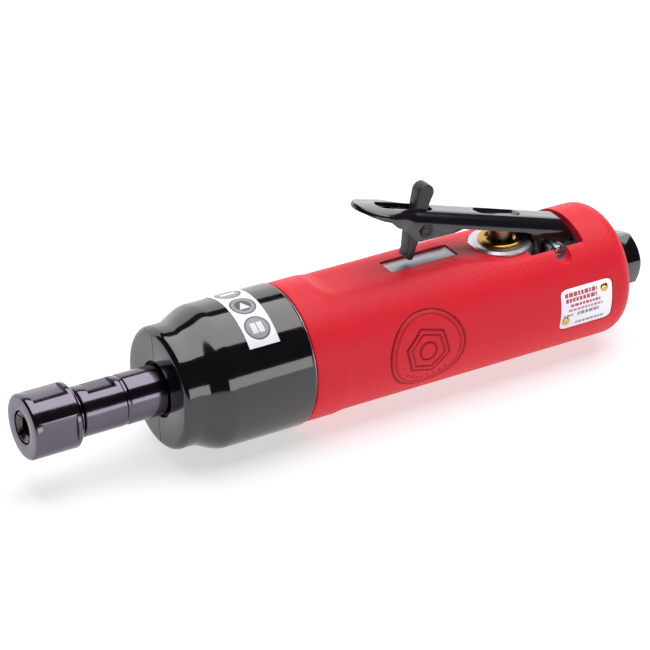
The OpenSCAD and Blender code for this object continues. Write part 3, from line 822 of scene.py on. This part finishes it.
    def cut_openings(self, piece: bpy.types.Object) -> None:
        """Cuts what the grip leaves open: valve, ears, strip, nameplate and pin ends.

        Args:
            piece: the sleeve.
        """
        (sx0, sy0, _), (sx1, sy1, _) = span("wear_strip")
        plate_lo, plate_hi = span("nameplate")
        gap, seat_gap = 0.3, 0.25
        tools = [rod(10, 30, 11, (VALVE_X, 0, 0), "Z", 96),
                 block("cutter", (180.5, -13, 13), (201.1, 13, 33)),
                 block("cutter", (182, -7.8, 8), (202.8, 7.8, 18.5)),
                 block("cutter", (sx0 - gap, sy0 - gap, 19), (sx1 + gap, sy1 + gap, 24)),
                 self.wrapped_plate("cutter", plate_lo[0] - seat_gap, plate_hi[0] + seat_gap,
                                    self.plate_high + 2 * seat_gap, 22.25, 26)]
        for side in (-1, 1):
            start, end = sorted((side * 12.5, side * 23))
            tools.append(rod(start, end, 2.8, (HINGE[0] - 0.9, 0, HINGE[1] + 0.8), "Y", 64))
        carve(piece, tools)

    def wrapped_plate(self, name: str, x0: float, x1: float, high: float, r_in: float,
                      r_out: float) -> bpy.types.Object:
        """Makes a round-cornered plate that follows the grip's -Y side.

        Args:
            name: the object's name.
            x0: front edge.
            x1: rear edge.
            high: height of the plate, measured straight up.
            r_in: inner radius.
            r_out: outer radius.

        Returns:
            The curved plate.
        """
        corner, rows = 2.0, []
        for z in np.linspace(-high / 2, high / 2, 33):
            over = max(abs(z) - (high / 2 - corner), 0)
            pull = corner - math.sqrt(max(corner ** 2 - over ** 2, 0))
            xs = np.linspace(x0 + pull, x1 - pull, 9)
            top = z + self.plate_mid_z
            ring = [(x, -math.sqrt(r_out ** 2 - top ** 2), top) for x in xs]
            ring += [(x, -math.sqrt(r_in ** 2 - top ** 2), top) for x in xs[::-1]]
            rows.append(ring)
        return grid(name, np.array(rows), (False, True), cap=True)

    def strip(self) -> None:
        """Lays the brushed strip that the lever's foot stands over."""
        lo, hi = span("wear_strip")
        piece = block("strip", lo, hi)
        soften(piece, 0.12, 40, 2)
        place_on(piece, "wear_strip")

    def nameplate(self) -> None:
        """Makes the plate, its plain printed bars and its two rivets."""
        lo, hi = span("nameplate")
        r = -lo[1]
        place_on(self.wrapped_plate("maker_plate", lo[0], hi[0], self.plate_high, r - 0.35, r), "nameplate")
        rng = np.random.default_rng(7)
        # height of the row above the plate's middle, height of its bars, ink, and where it starts and ends
        rows = [(5.2, 1.5, "red_ink", 1.6, 14.4),
                (3.3, 1.4, "red_ink", 1.9, 14.2),
                (1.3, 1.0, "red_ink", 3.8, 15.6),
                (-0.4, 0.9, "rose_ink", 3.0, 16.6),
                (-2.2, 0.9, "grey_ink", 1.2, 5.2),
                (-2.2, 1.3, "grey_ink", 6.6, 15.2),
                (-5.7, 0.9, "grey_ink", 6.3, 17.8)]
        for row, (z, tall, ink, start, end) in enumerate(rows):
            at, k = start, 0
            while at < end:
                long = float(rng.uniform(0.7, 1.6))
                stop = min(at + long, end)
                piece = self.bar_on_plate(f"plate_bar_{row + 1}_{k + 1}", lo[0] + at, lo[0] + stop,
                                          self.plate_mid_z + z, tall, r)
                place_on(piece, "nameplate", stands_in=False, material=ink)
                at, k = stop + 0.35, k + 1
        self.rivets(r)

    def bar_on_plate(self, name: str, x0: float, x1: float, z: float, tall: float,
                     r: float) -> bpy.types.Object:
        """Makes one printed bar, a film that follows the plate.

        Args:
            name: the piece's name.
            x0: where it starts along the body.
            x1: where it ends.
            z: height of its middle.
            tall: its height.
            r: radius of the plate's face.

        Returns:
            The bar.
        """
        rows = []
        for top in np.linspace(z - tall / 2, z + tall / 2, 4):
            rows.append([(x, -math.sqrt(q * q - top * top), top)
                         for x, q in ((x0, r + 0.02), (x1, r + 0.02), (x1, r - 0.05), (x0, r - 0.05))])
        return grid(name, np.array(rows), (False, True), cap=True)

    def rivets(self, r: float) -> None:
        """Drives the two domed rivets, standing square to the plate.

        Args:
            r: radius of the plate's face.
        """
        head = [(-2.2, 0), (-2.2, 0.75), (0, 0.75), (0, 1.5), (0.2, 1.45), (0.42, 1.15), (0.58, 0.7),
                (0.65, 0)]
        pair = []
        for x, z in ((203.9, 4.6), (188.8, -4.3)):
            piece = turned("rivets", eased(head, 0.12), axis="Z", sides=48)
            lean = math.pi / 2 - math.asin(z / r)
            spin = Euler((lean, 0, 0)).to_matrix()
            base = spin @ Vector((0, 0, r * MM)) + Vector((x * MM, 0, 0))
            for vertex in piece.data.vertices:
                vertex.co = spin @ vertex.co + base
            pair.append(piece)
        carve(pair[0], pair[1:], "UNION")
        place_on(pair[0], "nameplate_rivets")

    def build(self) -> None:
        """Makes the sleeve, the strip and the nameplate."""
        self.sleeve()
        self.strip()
        self.nameplate()


# ---------- throttle lever and lock tab ----------

@dataclass
class Lever:
    """The pressed throttle lever with its lock tab, on one hinge at the rear."""

    tip: tuple[float, float] = (118.3, 47.85)
    slope: float = 17.1
    sheet: float = 1.6
    tip_s: float = 2.0
    nose_end: float = 11.0
    paddle_half: float = 7.9
    channel_half: float = 6.5
    end_s: float = 83.7
    crown_r: float = 31.0
    tab_at: tuple[float, float] = (143.6, 34.2)
    tab_half: float = 2.3

    def world(self, s: float, y: float, n: float) -> tuple[float, float, float]:
        """Turns a place on the lever into the model's frame.

        Args:
            s: distance from the tip along the lever.
            y: distance across it.
            n: height above its top face.

        Returns:
            The place, in millimetres.
        """
        a = math.radians(self.slope)
        return (self.tip[0] + s * math.cos(a) + n * math.sin(a), y,
                self.tip[1] - s * math.sin(a) + n * math.cos(a))

    def half_width(self, s: float) -> float:
        """Gives half the lever's width: a half ellipse, then a neck, then the channel.

        Args:
            s: distance from the tip along the lever.

        Returns:
            Half the width.
        """
        if s < self.nose_end:
            share = (self.nose_end - s) / (self.nose_end - self.tip_s)
            return self.paddle_half * math.sqrt(max(1 - share ** 2, 0))
        t = np.clip((s - 13.5) / 10, 0, 1)
        return self.paddle_half + (self.channel_half - self.paddle_half) * t * t * (3 - 2 * t)

    def section(self, s: float) -> tuple[list[Point], list[Point]]:
        """Gives the outer and inner lines of the sheet at a station.

        Args:
            s: distance from the tip along the lever.

        Returns:
            Two lists of (y, n) points of equal length, from the -Y edge over the top to the +Y edge.
        """
        t = float(np.clip((s - 11) / 12, 0, 1))
        t = t * t * (3 - 2 * t)
        half = self.half_width(s)
        depth = float(np.interp(s, [0, 7, 12.5, 15.6, 19.5, 25.6, 33, 40, 45, 57, 66, 70, 74, 84],
                                [1.7, 1.9, 3.0, 4.8, 5.6, 5.6, 4.7, 4.3, 4.1, 4.1, 4.0, 4.7, 6.3, 6.4]))
        corner = min(1.1 + (4.4 - 1.1) * t, half * 0.8)
        hollow = float(np.clip((half - 2.2) / 2.0, 0, 1))

        def line(w: float, c: float, top: float) -> list[Point]:
            """Draws one side of the sheet, as an arch.

            Args:
                w: half its width.
                c: radius of its corners.
                top: height of its top.

            Returns:
                Its (y, n) points.
            """
            points = [(-w, -depth), (-w, -(depth + c - top) / 2)]
            points += [(-w + c - c * math.cos(a), top - c + c * math.sin(a))
                       for a in np.linspace(0, math.pi / 2, 9)]
            points += [(y, top) for y in np.linspace(-w + c, w - c, 9)[1:-1]]
            points += [(w - c + c * math.sin(a), top - c + c * math.cos(a))
                       for a in np.linspace(0, math.pi / 2, 9)]
            points += [(w, -(depth + c - top) / 2), (w, -depth)]
            crowned = [(y, n + -(y * y) / (2 * self.crown_r) * (1 - t)) for y, n in points[1:-1]]
            return [points[0], *crowned, points[-1]]

        wall = min(self.sheet, half * 0.6)
        inner_top = -self.sheet * hollow - (depth - 0.15) * (1 - hollow)
        return line(half, corner, 0.0), line(half - wall, max(corner - wall, 0.25), inner_top)

    def shell(self) -> bpy.types.Object:
        """Lofts the pressed sheet from its tip to its slanted rear end.

        Returns:
            The sheet, closed at both ends.
        """
        nose = self.nose_end - self.tip_s
        stations = [self.tip_s + nose * (1 - math.cos(a)) for a in np.radians(np.linspace(5, 90, 22))]
        for start, end, step in ((11.8, 34, 0.8), (34, 66, 2.0), (66, 83, 1.0)):
            stations += list(np.arange(start, end, step))
        stations.append(self.end_s)
        rings = []
        for s in stations:
            outer, inner = self.section(s)
            lean = float(np.clip((s - 72) / 11, 0, 1)) * 0.93
            rings.append([self.world(s + lean * max(-n, 0), y, n) for y, n in outer + inner[::-1]])
        layers = np.array(rings)
        rows, cols = layers.shape[:2]
        faces = []
        for first in range(0, (rows - 1) * cols, cols):
            for k in range(cols):
                n = (k + 1) % cols
                faces.append((first + k, first + n, first + cols + n, first + cols + k))
        for first in (0, (rows - 1) * cols):
            for k in range(cols // 2 - 1):
                faces.append((first + k, first + k + 1, first + cols - 2 - k, first + cols - 1 - k))
        return solid("lever", layers.reshape(-1, 3), faces)

    def side_plates(self) -> list[bpy.types.Object]:
        """Makes the cheeks that carry the tab and the ears that carry the hinge, set in a little.

        Returns:
            Two cheeks and two ears.
        """
        tx, tz = self.tab_at

        def side(s: float, n: float) -> Point:
            """Gives a place on the lever as (x, z)."""
            return self.world(s, 0, n)[::2]

        cheek = [side(16.5, -3), (135, 36.8), (tx - 3.4, tz - 3.3), (tx - 2.6, tz - 3.7),
                 (tx + 10.9, tz - 3.9), (tx + 15.4, tz - 3.2), side(44.8, -3)]
        ear = [side(70.5, -3), side(72.8, -5.4), side(75, -8.8), *arc(*HINGE, 4.4, 195, 330, 14),
               side(87.4, -5.6), side(84, -3)]
        plates = []
        for outline in (cheek, ear):
            for hand in (-1, 1):
                ends = sorted((hand * (self.channel_half - 0.45), hand * (self.channel_half - 1.75)))
                plates.append(plate("plate", eased(outline, 0.5), *ends))
        return plates

    def slot_tool(self, s0: float, s1: float, half: float, levels: Sequence[Point]) -> bpy.types.Object:
        """Makes a round-ended cutter across the lever's top.

        Args:
            s0: front end of the slot.
            s1: rear end.
            half: half its width.
            levels: pairs of height above the top face, and how much wider the cutter is there.

        Returns:
            The cutter.
        """
        rings = []
        for n, grow in levels:
            w = half + grow
            ring = [(s1 - half + w * math.sin(a), w * math.cos(a)) for a in np.linspace(0, math.pi, 17)]
            ring += [(s0 + half - w * math.sin(a), -w * math.cos(a)) for a in np.linspace(0, math.pi, 17)]
            rings.append([self.world(s, y, n) for s, y in ring])
        return grid("cutter", np.array(rings), (False, True), cap=True)

    def lever(self) -> None:
        """Joins the sheet and its side plates, and pierces the slot, the recess and the pin holes."""
        piece = self.shell()
        carve(piece, self.side_plates(), "UNION")
        tx, tz = self.tab_at
        carve(piece, [self.slot_tool(10, 32.2, 2.8, ((-9, 0), (3, 0))),
                      self.slot_tool(49.7, 68.6, 2.5, ((-0.95, -0.55), (0.05, 0.1), (2.0, 0.6))),
                      rod(-12, 12, 1.4, (tx, 0, tz), "Y"),
                      rod(-12, 12, 1.85, (HINGE[0], 0, HINGE[1]), "Y")])
        soften(piece, 0.14, 50)
        place_on(piece, "throttle_lever", angle=38)

    def tab(self) -> None:
        """Cuts the lock tab from thick plate, with soft edges and a plain thumb end."""
        tx, tz = self.tab_at
        outline = arc(2.3, 11.1, 2.9, 176, -24, 26) + [(3.6, 7.2), (2.85, 4.4)] + arc(0, 0, 2.9, 30, -60, 10)
        # the foot, down its rear edge, round its toe and up its front edge
        outline += [(0.2, -4.6), (-1.2, -7.4), (-2.1, -10.6), (-2.5, -11.6), (-3.4, -11.95), (-4.5, -11.3),
                    (-5.5, -10.2), (-4.9, -9.3), (-4.55, -8.0), (-4.3, -5.0), (-4.1, -2.2), (-3.3, -0.6),
                    (-2.7, 1.0), (-1.6, 6.0)]
        outline = [(x + tx, z + tz) for x, z in eased(outline, 0.6, 2)]
        piece = plate("tab", outline, -self.tab_half, self.tab_half)
        carve(piece, [rod(-9, 9, 1.45, (tx, 0, tz), "Y")])
        soften(piece, 0.55, 50, 4)
        place_on(piece, "lock_tab", angle=40)

    def pins(self) -> None:
        """Turns the tab's headed pin and the lever's hinge pin."""
        half = self.channel_half
        tx, tz = self.tab_at
        head = [(half - 0.5, 1.39), (half - 0.45, 2.35), (half + 0.35, 2.35), (half + 0.6, 2.05),
                (half + 0.6, 1.3), (half + 0.25, 0.95), (half + 0.25, 0)]
        outline = head + [(-along, r) for along, r in reversed(head)]
        place_on(turned("tab_pin", eased(outline, 0.12), (tx, 0, tz), "Y", 64), "lock_tab_pin")
        reach = span("lever_pin")[1][1]
        outline = [(-reach, 0), (-reach, 1.3), (0.5 - reach, 1.79), (reach - 0.5, 1.79), (reach, 1.3),
                   (reach, 0)]
        place_on(turned("hinge_pin", eased(outline, 0.15), (HINGE[0], 0, HINGE[1]), "Y", 64), "lever_pin")

    def build(self) -> None:
        """Makes the lever, the tab and their pins."""
        self.lever()
        self.tab()
        self.pins()


# ---------- throttle valve ----------

@dataclass
class Valve:
    """The brass bush and the plunger that the lever pushes."""

    dome_r: float = 3.98

    def bush(self) -> None:
        """Turns the brass bush with its polished flange."""
        outline = [(-6, 5.2), (-6, 6.95), (-4.6, 6.95), (-4.6, 6), (-3, 6), (-3, 6.95), (15, 6.95), (15, 6),
                   (16.6, 6), (16.6, 6.95), (20.05, 6.95), (20.05, 7.5), (20.6, 7.5), (21, 7.0), (21, 5.3),
                   (20.5, 4.6), (20.3, 4.1), (13, 4.1), (13, 5.2), (8.6, 5.2), (8.6, 2.8), (7.2, 2.8),
                   (7.2, 5.2)]
        piece = turned("bush", eased(outline, 0.15), centre=(VALVE_X, 0, 0), axis="Z", sides=144)
        # an inlet port low on the rear side, and an outlet port on the front side
        for z, r, start, end in ((-1, 2.4, 0, 9), (10.6, 1.9, -9, 0)):
            carve(piece, [rod(start, end, r, (VALVE_X, 0, z), sides=40)])
        place_on(piece, "valve_bush")

    def plunger(self) -> None:
        """Turns the plunger with its domed end and poppet."""
        top = span("valve_plunger")[1][2]
        dome = top - self.dome_r
        outline = [(4.9, 0), (4.9, 4.4), (6.6, 4.4), (7.1, 3.9), (7.1, 1.5), (13.6, 1.5), (13.6, 3.5),
                   (14.1, 3.98)]
        outline += [(dome + self.dome_r * math.sin(a), self.dome_r * math.cos(a))
                    for a in np.radians(np.linspace(0, 84, 12))]
        outline.append((top, 0))
        place_on(turned("plunger", outline, (VALVE_X, 0, 0), "Z", 96), "valve_plunger")

    def build(self) -> None:
        """Makes both pieces."""
        self.bush()
        self.plunger()


# ---------- air inlet ----------

@dataclass
class Inlet:
    """The enamelled hexagon bush at the rear."""

    flats: float = 17.0
    turn: float = 14.7
    hex_x: float = 217.6
    thread_r: float = 5.7

    def bush(self) -> None:
        """Mills the hexagon, chamfers it, and bores it for the air fitting."""
        end = span("inlet_bush")[1][0]
        corner = self.flats / math.sqrt(3)
        outline = [(corner * math.sin(a), -corner * math.cos(a))
                   for a in np.radians(self.turn + 60 * np.arange(6))]
        piece = plate("inlet_hex", outline, self.hex_x, end, "X")
        soften(piece, 0.35, 40, 3)
        crown = [(self.hex_x - 1, 0), (self.hex_x - 1, corner + 1), (end - 1.6, corner + 1),
                 (end, self.flats / 2 - 0.3), (end, 0)]
        carve(piece, [turned("cutter", crown, sides=192)], "INTERSECT")
        shank = [(199.2, 0), (199.2, 8.95), (self.hex_x + 0.3, 8.95), (self.hex_x + 0.3, 0)]
        carve(piece, [turned("shank", eased(shank, 0.2), sides=160)], "UNION")
        bore = [(198, 0), (198, 4.5), (214, 4.5), (214, self.thread_r)]
        pitch = 1.34
        for k in range(9):
            bore += [(215 + pitch * k, self.thread_r), (215 + pitch * (k + 0.5), self.thread_r + 0.45)]
        bore += [(end - 0.9, self.thread_r + 0.3), (end + 0.1, self.thread_r + 1.1), (end + 0.1, 0)]
        carve(piece, [turned("cutter", bore, sides=128)])
        soften(piece, 0.1, 50)
        place_on(piece, "inlet_bush")

    def build(self) -> None:
        """Makes the bush."""
        self.bush()


# ---------- pieces that keep their engineered shape ----------

def dress_cad(hidden_already: set[str]) -> None:
    """Gives each CAD node that still shows its material.

    Args:
        hidden_already: nodes that a new piece stands for.
    """
    for name, node in frame["nodes"].items():
        if name in hidden_already:
            continue
        material = MATERIALS[SLOT_OF[name]]
        if not node.material_slots:
            node.data.materials.append(material)
        for slot in node.material_slots:
            slot.material = material
        LOG.info("%s keeps its engineered shape", name)


# ---------- studio ----------

@dataclass
class Lamp:
    """One soft box, given by its middle, its two sizes and its strength."""

    name: str
    middle: tuple[float, float, float]
    size: tuple[float, float]
    radiance: float
    aim: tuple[float, float, float] = (0.11, 0.0, 0.0)

    def build(self) -> None:
        """Makes the area light and aims it."""
        data = bpy.data.lights.new(self.name, "AREA")
        data.shape, data.size, data.size_y = "RECTANGLE", self.size[0], self.size[1]
        data.energy = self.radiance * math.pi * self.size[0] * self.size[1]
        lamp = bpy.data.objects.new(self.name, data)
        bpy.context.scene.collection.objects.link(lamp)
        lamp.location = self.middle
        away = Vector(self.middle) - Vector(self.aim)
        lamp.rotation_euler = away.to_track_quat("Z", "Y").to_euler()


@dataclass
class Studio:
    """A pale floor, soft boxes and the camera."""

    floor_half: float = 3.0
    floor_gap: float = 0.05
    floor_deep: float = 5.0
    azimuth: float = -30.6
    elevation: float = 28.59
    lens: float = 177.2
    stand: tuple[float, float, float] = (-0.3547, -0.7843, 0.5026)

    def floor(self) -> None:
        """Lays a plain pale floor just under the tool, with a slight glow that keeps it near white."""
        low = cad_box[0].z / MM - self.floor_gap
        half = self.floor_half / MM
        floor = block("floor", (-half, -half, low - self.floor_deep), (half, half, low))
        made = bpy.data.materials.new("pale_floor")
        made.use_nodes = True
        tree = made.node_tree
        tree.nodes.clear()
        place = add(tree, "TexCoord").outputs["Object"]
        speckle = add(tree, "TexNoise", {"Vector": place, "Scale": 60.0, "Detail": 3.0}).outputs["Fac"]
        tone = add(tree, "Mix", {0: speckle, 6: linear("b4b3b8"), 7: linear("bab9be")}, data_type="RGBA")
        skin = add(tree, "BsdfPrincipled", {"Base Color": tone.outputs[2], "Roughness": 0.9,
                                            "Emission Color": (1, 1, 1, 1), "Emission Strength": 0.6})
        add(tree, "OutputMaterial", {"Surface": skin.outputs[0]})
        floor.data.materials.append(made)

    def world(self) -> None:
        """Sets a dim room that the lamps stand out against, seen as white behind the tool."""
        world = bpy.data.worlds.new("room")
        bpy.context.scene.world = world
        world.use_nodes = True
        tree = world.node_tree
        tree.nodes.clear()
        ray = add(tree, "LightPath").outputs["Is Camera Ray"]
        tone = add(tree, "Mix", {0: ray, 6: (0.035, 0.033, 0.038, 1), 7: (0.95, 0.95, 0.95, 1)},
                   data_type="RGBA")
        sky = add(tree, "Background", {"Color": tone.outputs[2], "Strength": 1.0})
        add(tree, "OutputWorld", {"Surface": sky.outputs[0]})

    def camera(self) -> None:
        """Sets the camera at the wanted viewing angle."""
        data = bpy.data.cameras.new("camera")
        data.lens, data.sensor_width = self.lens, 36.0
        data.clip_start, data.clip_end = 0.05, 20.0
        camera = bpy.data.objects.new("camera", data)
        bpy.context.scene.collection.objects.link(camera)
        camera.location = self.stand
        camera.rotation_euler = Euler((math.radians(90 - self.elevation), 0, math.radians(self.azimuth)))
        bpy.context.scene.camera = camera

    def build(self) -> None:
        """Sets the whole studio."""
        bpy.context.scene.view_settings.view_transform = "Standard"
        self.floor()
        self.world()
        self.camera()
        lamps = [Lamp("overhead_box", (0.42, 0.09, 0.75), (1.3, 0.86), 3.3, aim=(0.42, 0.09, 0.0)),
                 Lamp("front_box", (0.35, -0.95, 0.135), (1.0, 0.28), 3.0, aim=(0.35, 0.0, 0.135)),
                 Lamp("back_wall", (0.55, 1.05, 0.48), (2.6, 0.95), 1.5, aim=(0.55, 0.0, 0.48))]
        for lamp in lamps:
            lamp.build()


def main() -> None:
    """Builds every piece in order, then the studio."""
    logging.basicConfig(level=logging.INFO, format="%(message)s")
    for part in (Chuck(), FrontHousing(), Grip(), Lever(), Valve(), Inlet()):
        part.build()
    dress_cad({n for n, node in frame["nodes"].items() if node.hide_render})
    Studio().build()


if __name__ == "__main__":
    main()
